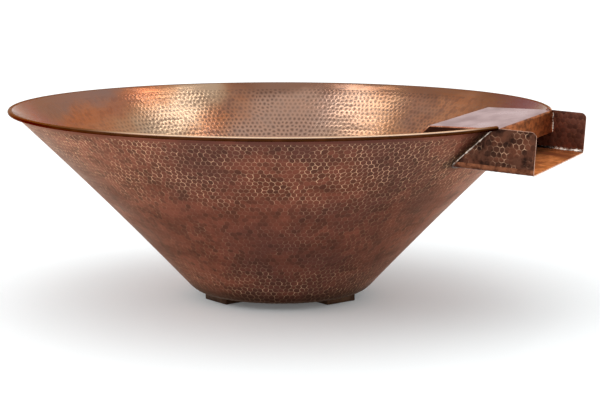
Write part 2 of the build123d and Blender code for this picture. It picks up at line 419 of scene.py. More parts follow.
@dataclass(frozen=True)
class Patches:
    """Soft patches of noise, from the noise value where a patch starts to the one where it is full."""

    size: float
    detail: float
    break_up: float
    start: float
    full: float
    least: float = 0.0

    def grow(self, tree: NodeTree, place: NodeSocket) -> tuple[NodeSocket, NodeSocket]:
        """Builds the noise and the share of the patches.

        Args:
            tree: Node tree of the material.
            place: Coordinates that the patches lie in.

        Returns:
            Outputs with the noise and with the share.
        """
        sockets = {"Vector": place, "Scale": 1 / self.size, "Detail": self.detail, "Roughness": self.break_up}
        noise = add_node(tree, "ShaderNodeTexNoise", sockets).outputs["Fac"]
        sockets = {"Value": noise, "From Min": self.start, "From Max": self.full, "To Min": self.least}
        share = add_node(tree, "ShaderNodeMapRange", sockets, interpolation_type="SMOOTHSTEP")
        return noise, share.outputs["Result"]


@dataclass(frozen=True)
class BareMetal:
    """Smooth metal with two tones in soft patches, a fine grain and bands of other tones.

    Real grain is too fine to show, so it is drawn several times as coarse, at a size that shows.
    """

    name: str
    tone: str
    patch: str
    roughness: float
    _: KW_ONLY
    edge: str = "ffffff"
    along: Triple = (1.0, 1.0, 1.0)
    patch_size: float = 25 * MM
    spread: float = 0.08
    grain_size: float = 0.9 * MM
    grain_depth: float = 0.04 * MM
    bands: tuple[tuple[str, Reach], ...] = ()

    def material(self) -> Material:
        """Makes the finish's material, or finds the one made before.

        Returns:
            The material.
        """
        known = bpy.data.materials.get(self.name)
        if known:
            return known
        material, tree, shader = new_material(self.name)
        place = add_node(tree, "ShaderNodeTexCoord").outputs["Object"]
        drawn = add_node(tree, "ShaderNodeMapping", {"Vector": place, "Scale": self.along}).outputs["Vector"]
        feed(tree, shader, {"Metallic": 1.0, "Specular Tint": linear(self.edge)})
        feed(tree, shader, self.looks(tree, place, drawn))
        return material

    def looks(self, tree: NodeTree, place: NodeSocket, drawn: NodeSocket) -> dict[str, object]:
        """Builds colour, roughness and relief.

        Args:
            tree: Node tree of the material.
            place: Object coordinates.
            drawn: Object coordinates, drawn out along the finish's own direction.

        Returns:
            What each socket of the shader gets.
        """
        patch = Patches(self.patch_size, detail=5, break_up=0.6, start=0.38, full=0.64)
        patches, share = patch.grow(tree, drawn)
        layers = [(share, self.patch), *((reach.mask(tree, place), tone) for tone, reach in self.bands)]
        return {
            "Base Color": self.layered(tree, layers),
            "Roughness": self.gloss(tree, patches),
            "Normal": self.relief(tree, drawn, self.grain_size, self.grain_depth, detail=3),
        }

    def layered(self, tree: NodeTree, layers: Sequence[tuple[NodeSocket, str]]) -> NodeSocket:
        """Lays shares of other tones over the finish's own tone.

        Args:
            tree: Node tree of the material.
            layers: Share and tone of each layer.

        Returns:
            Output with the colour.
        """
        colour = linear(self.tone)
        # The mix node's colours are its inputs 6 and 7 and its output 2
        for share, tone in layers:
            sockets = {0: share, 6: colour, 7: linear(tone)}
            colour = add_node(tree, "ShaderNodeMix", sockets, data_type="RGBA").outputs[2]
        return colour

    def gloss(self, tree: NodeTree, patches: NodeSocket) -> NodeSocket:
        """Lets the roughness follow the noise of the patches.

        Args:
            tree: Node tree of the material.
            patches: Noise of the patches.

        Returns:
            Output with the roughness.
        """
        sockets = {"Value": patches, "From Min": NOISE_LOW, "From Max": NOISE_HIGH}
        sockets |= {"To Min": self.roughness - self.spread, "To Max": self.roughness + self.spread}
        return add_node(tree, "ShaderNodeMapRange", sockets).outputs["Result"]

    @staticmethod
    def relief(
        tree: NodeTree, place: NodeSocket, size: float, depth: float, detail: float, **below: NodeSocket
    ) -> NodeSocket:
        """Builds an uneven skin of noise.

        Args:
            tree: Node tree of the material.
            place: Coordinates that the noise lies in.
            size: Size of its waves.
            depth: Their depth.
            detail: Finer layers in the noise.
            below: Coarser relief that it lies on, as the socket Normal.

        Returns:
            Output with the normal.
        """
        noise = add_node(tree, "ShaderNodeTexNoise", {"Vector": place, "Scale": 1 / size, "Detail": detail})
        sockets = {"Height": noise.outputs["Fac"], "Distance": depth, "Strength": 1.0, **below}
        return add_node(tree, "ShaderNodeBump", sockets).outputs["Normal"]


@dataclass(frozen=True, kw_only=True)
class HammeredCopper(BareMetal):
    """Hammered copper sheet: dished marks under a brown oxide skin, with a second tone on ridges or in pits.

    The marks bring four attributes: "ridge" is 1 on the ridges between marks and 0 in the middle of a mark,
    "knot" says how much a corner is worn, "rub" how much a ridge is worn, with painted shade that dims the
    ridges which run level, and "mark" is a chance value for each mark.
    """

    cloud: str
    burnt: str
    second: str
    second_on: Tone = Tone.RIDGE
    second_from: float
    second_to: float
    second_share: float
    second_roughness: float = 0.3
    wax: float = 0.0
    burnt_from: float = 0.4
    burnt_share: float = 0.6
    patch_size: float = 70 * MM
    cloud_size: float = 150 * MM
    wear_size: float = 60 * MM
    wear_from: float = 0.38
    wear_run: float = 0.2
    wear_least: float = 0.25
    spread: float = 0.07
    grain_size: float = 1.1 * MM
    grain_depth: float = 0.05 * MM
    ripple_size: float = 60 * MM
    ripple_depth: float = 0.1 * MM
    stray_size: float = 90 * MM
    stray: float = 50 * MM
    worn: tuple[Reach, ...] = ()
    worn_least: float = 1.0

    def looks(self, tree: NodeTree, place: NodeSocket, drawn: NodeSocket) -> dict[str, object]:
        """Builds skin, patches, burnt marks, bands and the second tone over one another.

        Args:
            tree: Node tree of the material.
            place: Object coordinates.
            drawn: Object coordinates, drawn out along the finish's own direction.

        Returns:
            What each socket of the shader gets.
        """
        patch = Patches(self.patch_size, detail=6, break_up=0.62, start=0.42, full=0.64)
        cloud = Patches(self.cloud_size, detail=4, break_up=0.55, start=0.46, full=0.66)
        patches, patch_share = patch.grow(tree, drawn)
        _, cloud_share = cloud.grow(tree, place)
        mark = add_node(tree, "ShaderNodeAttribute", attribute_name="mark").outputs["Fac"]
        sockets = {"Value": mark, "From Min": self.burnt_from, "From Max": 1.0, "To Max": self.burnt_share}
        burnt = add_node(tree, "ShaderNodeMapRange", sockets).outputs["Result"]
        # Bands lie in coordinates that stray, so that none has a straight border
        sockets = {"Vector": place, "Scale": 1 / self.stray_size, "Detail": 4}
        stray = add_node(tree, "ShaderNodeTexNoise", sockets).outputs["Color"]
        sockets = {0: stray, 1: (NOISE_MEAN,) * 3}
        stray = add_node(tree, "ShaderNodeVectorMath", sockets, operation="SUBTRACT")
        sockets = {0: stray.outputs[0], 1: (self.stray,) * 3, 2: place}
        strayed = add_node(tree, "ShaderNodeVectorMath", sockets, operation="MULTIPLY_ADD").outputs[0]
        second = self.second_mask(tree, place)
        layers = [(patch_share, self.patch), (cloud_share, self.cloud), (burnt, self.burnt)]
        layers += [(reach.mask(tree, strayed), tone) for tone, reach in self.bands]
        rough = {0: second, 2: self.gloss(tree, patches), 3: self.second_roughness}
        ripple = self.relief(tree, drawn, self.ripple_size, self.ripple_depth, detail=2)
        return {
            "Base Color": self.layered(tree, [*layers, (second, self.second)]),
            "Roughness": add_node(tree, "ShaderNodeMix", rough).outputs[0],
            "Normal": self.relief(tree, place, self.grain_size, self.grain_depth, detail=3, Normal=ripple),
            "Coat Weight": self.wax,
            "Coat Roughness": self.roughness,
        }

    def second_mask(self, tree: NodeTree, place: NodeSocket) -> NodeSocket:
        """Builds the share of the second tone: lines or dots of the marks, broken up by wear and, on ridges,
        by painted shade on those that run level.

        Args:
            tree: Node tree of the material.
            place: Object coordinates.

        Returns:
            Output with the share, from 0 to 1.
        """
        near = add_node(tree, "ShaderNodeAttribute", attribute_name="ridge").outputs["Fac"]
        sockets = {"Value": near, "From Min": self.second_from, "From Max": self.second_to}
        sockets["To Max"] = self.second_share
        share = add_node(tree, "ShaderNodeMapRange", sockets).outputs["Result"]
        rubbed = Patches(
            self.wear_size, detail=3, break_up=0.6, start=self.wear_from, full=self.wear_from + self.wear_run,
            least=self.wear_least,
        )
        wear_and_shade = [rubbed.grow(tree, place)[1]]
        if self.second_on is Tone.RIDGE:
            for name in ("knot", "rub_and_shade"):
                wear_and_shade.append(add_node(tree, "ShaderNodeAttribute", attribute_name=name).outputs["Fac"])
        if self.worn:
            shown = self.worn_least
            for reach in self.worn:
                shown = add_node(tree, "ShaderNodeMath", {0: reach.mask(tree, place), 1: shown}).outputs[0]
            wear_and_shade.append(shown)
        for part in wear_and_shade:
            share = add_node(tree, "ShaderNodeMath", {0: share, 1: part}, operation="MULTIPLY").outputs[0]
        return share


# Oven-dark copper outside: red-brown oxide with burnt marks, ridges rubbed bright, scorched beside the welds,
# and painted shade at the foot of the wall
BOWL_OUTSIDE = HammeredCopper(
    "hammered_copper_outside", "8d5343", "794739", 0.43, cloud="6a423a", burnt="452f28", second="ffd4ac",
    second_from=0.86, second_to=0.99, second_share=2.4, edge="fce4d4", burnt_share=0.55, wear_least=0.4,
    along=(1.0, 1.0, 3.0), stray=12 * MM, worn_least=0.25,
    worn=(
        Reach(0.8, (("Z", 0.155, 0.225),)),
        Reach(0.35, (("Z", 0.09, 0.05),)),
        Reach(-0.4, (("Z", 0.034, 0.018),)),
        Reach(-0.6, (("X", 0.28, 0.34), ("Z", 0.155, 0.225))),
    ),
    bands=(
        # Painted shade: dark at the foot of the wall, which mirrors the floor in the bowl's shadow
        ("341c17", Reach(0.95, (("Z", 0.042, 0.014),))),
        (
            "2a1711",
            Reach(1.0, (("Y", -0.16, -0.136), ("Y", 0.16, 0.136), ("X", 0.25, 0.264), ("Z", 0.212, 0.228))),
        ),
    ),
)
# Warmer, waxed copper inside: orange-brown with dark pits in the middle, dark towards the rim, and bands of
# painted
# light: paler golden tones where the two highlights fall, a grey painted reflection in the middle, a deeper
# orange painted reflection to the left, and painted shade at both ends
BOWL_INSIDE = HammeredCopper(
    "hammered_copper_inside", "a46c4a", "a46640", 0.12, cloud="8a624e", burnt="6c4434", second="523222",
    second_on=Tone.PIT, second_from=0.8, second_to=0.1, second_share=0.9, edge="cc9c7c", wax=0.45,
    burnt_share=0.5, along=(1.0, 1.0, 6.0), patch_size=60 * MM, wear_size=90 * MM, wear_least=0.5,
    ripple_depth=0.5 * MM, stray=80 * MM, worn_least=0.1,
    worn=(Reach(0.9, (("X", -0.345, -0.29), ("X", 0.2, 0.1))),),
    bands=(
        # Painted highlight: paler golden tones where the left and right highlights fall
        ("ae845e", Reach(0.7, (("X", -0.34, -0.305), ("X", -0.225, -0.26), ("Y", 0.0, 0.12)))),
        ("b08258", Reach(0.6, (("X", -0.08, -0.03), ("X", 0.08, 0.03), ("Y", 0.0, 0.12)))),
        # Painted reflection: grey in the middle, standing in for a dim light overhead
        ("b09484", Reach(0.58, (("X", -0.225, -0.165), ("X", 0.07, -0.07)))),
        # Painted highlight: pale core of the left highlight
        ("b4a088", Reach(0.55, (("X", -0.32, -0.285), ("X", -0.235, -0.265), ("Y", 0.0, 0.12)))),
        # Painted reflection: deeper orange to the left, where the wall mirrors copper instead of light
        ("a4552c", Reach(0.4, (("X", -0.385, -0.34), ("X", -0.29, -0.335)))),
        # Painted shade: greyer and darker at the left end, where the wall turns edge-on
        ("7e625a", Reach(0.75, (("X", -0.345, -0.372),))),
        # Painted shade: darker at the right end, where the wall turns edge-on
        ("5c3420", Reach(0.65, (("X", 0.14, 0.24),))),
        ("64381e", Reach(0.65, (("Z", 0.254, 0.282), ("X", -0.27, -0.21)))),
    ),
)
# Channel sheet, darkened almost to black, with bright broken rings round the marks
SPOUT_OUTSIDE = HammeredCopper(
    "darkened_copper_sheet", "5a392c", "2a1a15", 0.4, cloud="6a3f2f", burnt="1f1513", second="eebb98",
    second_from=0.85, second_to=0.97, second_share=1.2, patch_size=15 * MM, cloud_size=34 * MM,
    wear_size=26 * MM, wear_from=0.46, wear_least=0.0,
)
# Inside of the channel's sides: copper, browned by water
SPOUT_INSIDE = HammeredCopper(
    "water_browned_copper", "86584a", "6c4638", 0.42, cloud="5c3930", burnt="452a24", second="d39a70",
    second_from=0.8, second_to=0.95, second_share=0.5, patch_size=28 * MM, cloud_size=60 * MM,
)
# Channel floor: orange-brown where the water runs
CHANNEL_FLOOR = HammeredCopper(
    "water_worn_copper", "f9a568", "cd7a49", 0.5, cloud="a96443", burnt="ad663e", second="e8b48a",
    second_from=0.8, second_to=0.95, second_share=0.4, second_roughness=0.35, edge="d8b8a0",
    patch_size=11 * MM, cloud_size=45 * MM,
)
# Outside of the channel's folds: bare orange-brown copper
FOLD_OUTSIDE = BareMetal("folded_copper", "84523a", "522f22", 0.36, patch_size=10 * MM)
# Inside of the folds: near-white in broken strips, a painted reflection of the bright surround along the bend
FOLD_INSIDE = BareMetal("painted_sheen_copper", "fff2e6", "6a4230", 0.22, patch_size=15 * MM)
# Rolled lip: dark all over as painted shade, with painted highlights on top: browner along the top and bright
# along the front
LIP = BareMetal(
    # Painted shade: the dark tone of the roll
    "rolled_lip_copper", "3d200d", "4c2915", 0.3, patch_size=18 * MM, edge="c89870",
    bands=(
        # Painted highlight: lighter brown along the top of the roll
        ("7d5842", Reach(0.9, (("Z", 0.2794, 0.2807),))),
        # Painted highlight: near-white along the top at the front, where the roll mirrors the white overhead
        (
            "f2d2b6",
            Reach(1.0, (("Z", 0.2797, 0.2808), ("X", -0.12, 0.03), ("X", 0.37, 0.335), ("Y", -0.04, -0.12))),
        ),
    ),
)
# Cut edge of the sheet: bare pinkish copper
CUT_EDGE = BareMetal("cut_copper_edge", "e2ad8d", "b87a58", 0.3, patch_size=9 * MM)
# Hood sheet: satin, only lightly planished
HOOD_TOP = BareMetal(
    "satin_hood_copper", "ab8072", "8e665a", 0.32, patch_size=40 * MM, grain_depth=0.03 * MM, edge="faf4fa",
    along=(1.0, 0.35, 1.0),
)
# Apron of the hood: mottled orange-brown oxide
APRON = BareMetal(
    "mottled_copper_apron", "ae6338", "65341e", 0.42, patch_size=7 * MM, edge="f0d8c8", along=(1.0, 0.45, 1.0)
)
# Underside of the hood and the duct's plates: dull brown copper
DUCT = BareMetal("duct_copper", "4e3124", "38221a", 0.45, patch_size=30 * MM)
# Weld metal: pale, with a rippled skin and burnt places, and dark where it runs under the channel
WELD = BareMetal(
    "copper_weld_metal", "e6d6c8", "5e4436", 0.34, patch_size=6 * MM, grain_size=1.6 * MM,
    grain_depth=0.15 * MM, bands=(("3a241c", Reach(0.85, (("Z", 0.2325, 0.227), ("X", 0.2, 0.25)))),),
)
# Drawn copper wire: smooth, warm and a little uneven in tone
WIRE = BareMetal("drawn_copper_wire", "a8694a", "8a5239", 0.32)
# Cast bronze feet: dull olive-brown with a coarse skin
BRONZE = BareMetal("cast_bronze", "5a4232", "463024", 0.55, patch_size=14 * MM, grain_depth=0.12 * MM)
# Machined brass of the fittings: yellow, with tones drawn out round the axis
BRASS = BareMetal("machined_brass", "b58d4f", "9c763f", 0.3, patch_size=20 * MM, along=(1.0, 1.0, 4.0))


# Hammer marks


@dataclass(frozen=True)
class HammerMarks:
    """Rows of hammer marks: shallow dishes that meet in ridges."""

    width: float = 7.4 * MM
    row_step: float = 8.1 * MM
    wander: float = 2.8 * MM
    dish: float = 0.14 * MM
    seed: int = 5
    least_wear: float = 0.2
    least_count: int = 6
    slack: float = 0.1 * MM

    def turned(self, name: str, rows: Profile, back: Vector) -> Object:
        """Lays the marks round a turned sheet.

        Args:
            name: Name of the new object.
            rows: Radius and height of each row of marks.
            back: Point behind the sheet.

        Returns:
            The hammered sheet, in object mode.
        """
        dice = random.Random(self.seed)
        nothing()
        for index, (radius, height) in enumerate(rows):
            count = max(self.least_count, round(2 * math.pi * radius / self.width))
            bpy.ops.mesh.primitive_circle_add(
                vertices=count, radius=radius, location=(0, 0, height if index else 0),
                rotation=(0, 0, dice.uniform(0, 2 * math.pi)),
            )
            if index == 0:
                obj = named(name)
                bpy.ops.object.transform_apply(location=False, rotation=True, scale=False)
                mode("EDIT")
                whole()
                bpy.ops.transform.translate(value=(0, 0, height))
        for (inner, _), (outer, _) in zip(rows, rows[1:]):
            fill_between(obj, inner - self.slack, outer + self.slack)
        self.scatter(obj)
        mode("OBJECT")
        guide = turn("mark_guide", rows, ROUND)
        apply_modifier(obj, "SHRINKWRAP", target=guide, wrap_method="NEAREST_SURFACEPOINT")
        bpy.data.objects.remove(guide)
        self.strike(obj, back)
        return obj

    def flat(self, name: str, low: Pair, high: Pair, back: Vector) -> Object:
        """Lays the marks on a flat sheet in the ground plane.

        Args:
            name: Name of the new object.
            low: Lowest x and y of the sheet.
            high: Highest x and y of the sheet.
            back: Point behind the sheet.

        Returns:
            The hammered sheet, in object mode.
        """
        length, breadth = high[0] - low[0], high[1] - low[1]
        columns, rows = round(length / self.width), round(breadth / self.row_step)
        nothing()
        bpy.ops.mesh.primitive_grid_add(x_subdivisions=columns, y_subdivisions=rows, size=1)
        obj = named(name)
        mode("EDIT")
        bpy.ops.transform.resize(value=(length, breadth, 1), center_override=(0, 0, 0))
        step, inner = breadth / rows, length / 2 - self.slack
        pick(
            obj, Pick.VERT,
            lambda v: abs(v.co.x) < inner and round((v.co.y + breadth / 2) / step) % 2,
        )
        bpy.ops.transform.translate(value=(length / columns / 2, 0, 0))
        self.scatter(obj)
        bpy.ops.transform.resize(value=(1, 1, 0), center_override=(0, 0, 0))
        whole()
        bpy.ops.transform.translate(value=((low[0] + high[0]) / 2, (low[1] + high[1]) / 2, 0))
        mode("OBJECT")
        self.strike(obj, back)
        return obj

    def scatter(self, obj: Object) -> None:
        """Cuts a net of mark centres, in edit mode, into triangles and moves its inner points about.

        Args:
            obj: Net of mark centres.
        """
        whole()
        bpy.ops.mesh.quads_convert_to_tris(quad_method="SHORTEST_DIAGONAL", ngon_method="BEAUTY")
        bpy.ops.mesh.beautify_fill()
        pick(obj, Pick.VERT, lambda v: not v.is_boundary)
        bpy.ops.transform.vertex_random(offset=self.wander, seed=self.seed)

    def strike(self, obj: Object, back: Vector) -> None:
        """Makes a net of mark centres into dished marks.

        Args:
            obj: Net of mark centres, in object mode.
            back: Point behind the sheet.
        """
        mode("EDIT")
        whole()
        bpy.ops.mesh.beautify_fill()
        mode("OBJECT")
        apply_modifier(obj, "NODES", node_group=self.cell_group())
        mode("EDIT")
        face_away(obj, back)
        bpy.ops.mesh.mark_sharp()
        bpy.ops.mesh.poke(offset=-self.dish, use_relative_offset=False, center_mode="MEDIAN_WEIGHTED")
        mode("OBJECT")
        self.wear_and_shade(obj.data)

    def wear_and_shade(self, mesh: Mesh) -> None:
        """Says how much each ridge, corner and mark of a struck sheet is worn, with painted shade on the
        ridges that run level.

        Args:
            mesh: Mesh of the sheet: a fan of triangles for each mark, with sharp edges for the ridges.
        """
        dice = random.Random(self.seed)
        for name, domain in (("ridge", "POINT"), ("knot", "POINT"), ("rub_and_shade", "FACE"), ("mark", "FACE")):
            mesh.attributes.new(name, "FLOAT", domain)
        values = {name: mesh.attributes[name].data for name in ("ridge", "knot", "rub_and_shade", "mark", "sharp_edge")}
        rubs_and_shade: dict[tuple[int, int], float] = {}
        for edge in mesh.edges:
            if values["sharp_edge"][edge.index].value:
                start, end = (mesh.vertices[i] for i in edge.vertices)
                # Painted shade: ridges that run level lose their bright tone as if the light fell across
                # them, and ridges that run up the wall keep it
                level = Vector((0, 0, 1)).cross(start.normal)
                painted_level_shade = (end.co - start.co).normalized().dot(level) ** 2
                rubs_and_shade[edge.key] = dice.uniform(self.least_wear, 1) * (1 - painted_level_shade)
                for corner in edge.vertices:
                    values["ridge"][corner].value = 1.0
        for corner in mesh.vertices:
            values["knot"][corner.index].value = dice.uniform(self.least_wear, 1)
        tones: dict[int, float] = {}
        for face in mesh.polygons:
            centre = next(i for i in face.vertices if not values["ridge"][i].value)
            values["mark"][face.index].value = tones.setdefault(centre, dice.random())
            values["rub_and_shade"][face.index].value = max(rubs_and_shade.get(key, 0.0) for key in face.edge_keys)

    @staticmethod
    def spare(obj: Object) -> None:
        """Marks a smooth part of a hammered sheet: it has no pits and no worn ridges."""
        ridge = obj.data.attributes.new("ridge", "FLOAT", "POINT")
        ridge.data.foreach_set("value", [1.0] * len(obj.data.vertices))

    @staticmethod
    def cell_group() -> NodeTree:
        """Makes the node group that turns a net of points into cells round them, once.

        Returns:
            The node group.
        """
        known = bpy.data.node_groups.get("mark_cells")
        if known:
            return known
        tree = bpy.data.node_groups.new("mark_cells", "GeometryNodeTree")
        for way in ("INPUT", "OUTPUT"):
            tree.interface.new_socket("Geometry", in_out=way, socket_type="NodeSocketGeometry")
        source = add_node(tree, "NodeGroupInput")
        cells = add_node(tree, "GeometryNodeDualMesh", {"Mesh": source.outputs[0], "Keep Boundaries": True})
        add_node(tree, "NodeGroupOutput", {0: cells.outputs[0]})
        return tree


# The bowl


@dataclass
class Bowl:
    """Hammered bowl with a rolled lip and an outlet cut through its wall."""

    sheet: float = 1.6 * MM
    rim_radius: float = 394 * MM
    rim_top: float = 281.5 * MM
    base_level: float = 10 * MM
    base_corner: float = 126 * MM
    knuckle: float = 27 * MM
    rim_angle: float = 44.0
    roll_inside: float = 1.4 * MM
    rim_flat: float = 1.2 * MM
    roll_turn: float = 240.0
    hole: float = 30.15 * MM
    smooth_band: float = 13.5 * MM
    band_rings: tuple[float, ...] = (0.85, 0.55, 0.25, 0.0)
    lip_corners: int = 240
    lip_slack: float = 0.5 * MM
    steps: int = 60
    bend_steps: int = 4
    roll_steps: int = 14
    cutter_stride: int = 10
    cutter_roll_steps: int = 6
    marks: HammerMarks = HammerMarks()

    def __post_init__(self) -> None:
        """Works out the wall's arc and the roll's centre from the sizes."""
        angle = math.radians(self.rim_angle)
        self.roll_outside = self.roll_inside + self.sheet
        self.roll_centre = (self.rim_radius - self.roll_outside, self.rim_top - self.roll_outside)
        self.wall_top = (
            self.roll_centre[0] - self.rim_flat - self.roll_inside * math.sin(angle),
            self.roll_centre[1] + self.roll_inside * math.cos(angle),
        )
        run, rise = self.wall_top[0] - self.base_corner, self.wall_top[1] - self.base_level
        self.arc = math.hypot(run, rise) / 2 / math.sin(math.atan2(rise, run) - angle)
        self.arc_centre = (
            self.wall_top[0] + self.arc * math.sin(angle),
            self.wall_top[1] - self.arc * math.cos(angle),
        )

    def wall_radius(self, height: float, depth: float = 0.0) -> float:
        """Radius of the wall at a height over the floor, at a depth below its outer surface."""
        return self.arc_centre[0] - math.sqrt((self.arc + depth) ** 2 - (height - self.arc_centre[1]) ** 2)

    def wall_x(self, height: float, y: float, depth: float = 0.0) -> float:
        """Distance in x to the wall, at a height, a y across the spillway and a depth into the sheet."""
        return math.sqrt(self.wall_radius(height, depth) ** 2 - y**2)

    def outside(self) -> Profile:
        """Draws the outer profile from the hole to the top of the wall, in fine steps.

        Returns:
            Radius and height of each point.
        """
        slope = math.atan2(self.knuckle, self.wall_radius(self.base_level + self.knuckle) - self.base_corner)
        reach = self.knuckle * math.tan(slope / 2)
        centre = (self.base_corner - reach, self.base_level + self.knuckle)
        base = [(radius, self.base_level) for radius in spaced(self.hole, centre[0], self.steps)[:-1]]
        corner = [
            (centre[0] + self.knuckle * math.sin(way), centre[1] - self.knuckle * math.cos(way))
            for way in spaced(0.0, slope, self.steps)[:-1]
        ]
        foot = self.base_level + reach * math.sin(slope)
        wall = [(self.wall_radius(h), h) for h in spaced(foot, self.wall_top[1], 4 * self.steps)]
        return base + corner + wall

    def rows(self) -> Profile:
        """Spaces the rows of marks evenly up to the smooth band.

        Returns:
            Radius and height of each row.
        """
        points = self.outside()
        runs = [0.0]
        for a, b in zip(points, points[1:]):
            runs.append(runs[-1] + math.dist(a, b))
        end = runs[-1] - self.smooth_band
        count = round(end / self.marks.row_step)
        rows = []
        for row in range(count + 1):
            goal = end * row / count
            i = max(j for j in range(len(runs) - 1) if runs[j] <= goal + ROUNDING)
            share = (goal - runs[i]) / (runs[i + 1] - runs[i])
            rows.append(tuple(a + (b - a) * share for a, b in zip(points[i], points[i + 1])))
        return rows

    def lip(self) -> Profile:
        """Draws the lower skin of the lip: smooth band, bend, narrow flat and roll.

        Returns:
            Radius and height of each ring.
        """
        angle, up = math.radians(self.rim_angle), math.pi / 2
        band = [self.wall_top[1] - self.smooth_band * share * math.sin(angle) for share in self.band_rings]
        rings = [(self.wall_radius(h), h) for h in band]
        bend_centre = (self.roll_centre[0] - self.rim_flat, self.roll_centre[1])
        bend = spaced(up + angle, up, self.bend_steps)[1:]
        roll = spaced(up, up - math.radians(self.roll_turn), self.roll_steps)
        rings += [self.on_circle(bend_centre, self.roll_inside, way) for way in bend]
        return rings + [self.on_circle(self.roll_centre, self.roll_inside, way) for way in roll]

    @staticmethod
    def on_circle(centre: Pair, radius: float, way: float) -> Pair:
        """Point of a circle in a direction."""
        return centre[0] + radius * math.cos(way), centre[1] + radius * math.sin(way)

    def build(self, outlet: "Outlet") -> Object:
        """Builds the shell and gives it its finishes.

        Args:
            outlet: Opening to cut through wall and lip.

        Returns:
            The finished shell.
        """
        inside = Vector((0, 0, 2 * self.rim_top))
        rows, rings = self.rows(), self.lip()
        shell = self.marks.turned("bowl_hammered", rows, inside)
        lip = turn("bowl_lip", rings, self.lip_corners)
        self.marks.spare(lip)
        join(shell, lip)
        dress(shell, BOWL_OUTSIDE, BOWL_INSIDE, LIP, CUT_EDGE)
        mode("EDIT")
        fill_between(shell, rows[-1][0] - self.lip_slack, rings[0][0] + self.lip_slack)
        face_away(shell, inside)
        # The roll hides the lip's lower skin, and the slot after it is the upper skin's
        pick(shell, Pick.FACE, lambda f: middle(f).xy.length > self.wall_top[0])
        shell.active_material_index = 1
        bpy.ops.object.material_slot_assign()
        outlet.cut(shell)
        mode("OBJECT")
        thicken(shell, self.sheet, edge_slot=3)
        return finish_piece(shell, Body.BOWL, ["bowl_shell"])

    def cutter(self) -> Object:
        """Builds the bowl's full volume, for trimming the channel.

        Returns:
            The closed volume.
        """
        wall = self.outside()[self.steps :: self.cutter_stride]
        ways = spaced(math.pi, 2 * math.pi, self.cutter_roll_steps)
        roll = [self.on_circle(self.roll_centre, self.roll_outside, way) for way in ways]
        lowest = roll[self.cutter_roll_steps // 2][1]
        rings = [point for point in wall if point[1] < lowest] + roll[2:]
        return turn("bowl_cutter", rings + [(self.rim_radius, 2 * self.rim_top)], ROUND, capped=True)


@dataclass
class Outlet:
    """Opening through the wall and lip, as wide as the channel inside."""

    half: float = 130.7 * MM
    front: Pair = (419.6 * MM, 217.4 * MM)
    tilt: float = 3.3
    sheet: float = 1.6 * MM
    corner: float = 2.6 * MM
    near_wide: float = 1.1
    near_low: float = 0.95

    def floor(self, x: float) -> float:
        """Height of the channel floor's underside at a distance from the bowl's axis."""
        return self.front[1] + (self.front[0] - x) * math.tan(math.radians(self.tilt))

    def cut(self, shell: Object) -> None:
        """Cuts the opening through a sheet in edit mode.

        Args:
            shell: The bowl's sheet.
        """
        tilt = math.radians(self.tilt)
        up = Vector((math.sin(tilt), 0, math.cos(tilt)))
        floor = Vector((self.front[0], 0, self.front[1])) + self.sheet * up
        planes = [(floor, up)]
        for side in Side:
            across = Vector((0, side.value, 0))
            wall = floor + self.half * across
            planes += [(wall, across), (wall + self.corner * (up - across) / 2, (across - up).normalized())]
        for point, normal in planes:
            pick(shell, Pick.FACE, self.near)
            bpy.ops.mesh.bisect(plane_co=point, plane_no=normal)
        pick(
            shell, Pick.FACE,
            lambda f: middle(f).x > 0 and all(self.within(middle(f), *plane) for plane in planes),
        )
        bpy.ops.mesh.delete(type="FACE")

    def near(self, face: BMFace) -> bool:
        """Says whether a face lies near the opening."""
        x, y, z = middle(face)
        return x > self.half and abs(y) < self.near_wide * self.half and z > self.near_low * self.front[1]

    @staticmethod
    def within(place: Vector, point: Vector, normal: Vector) -> bool:
        """Says whether a place is on the opening's side of a plane."""
        side = (place - point).dot(normal)
        return side > 0 if normal.z > 0 else side < 0


# The spillway


@dataclass(frozen=True)
class Fold:
    """One fold of a sheet along a line of constant y.

    It has the y where it starts, the radius of the drawn skin, the degrees that the sheet turns by, the side
    that is folded, whether that side goes up, and how many lines it is made of.
    """

    start: float
    radius: float
    angle: float
    side: Side
    up: bool
    steps: int = 6

    @property
    def length(self) -> float:
        """Length of the bend along the sheet."""
        return self.radius * math.radians(self.angle)

    def bend(self, sheet: Object) -> None:
        """Folds a flat sheet in edit mode, a little at each line, from the farthest to the nearest.

        Args:
            sheet: The sheet, flat up to this fold.
        """
        lines = [
            self.start + self.side.value * self.length * (i + 0.5) / self.steps
            for i in reversed(range(self.steps))
        ]
        for line in lines:
            cut((0, line, 0), (0, 1, 0))
        way = self.side.value * (-1 if self.up else 1)
        part = way * math.radians(self.angle) / self.steps
        for line in lines:
            pick(sheet, Pick.VERT, lambda v: (v.co.y - line) * self.side.value > MESH_ROUNDING)
            bpy.ops.transform.rotate(value=part, orient_axis="X", center_override=(0, line, 0))


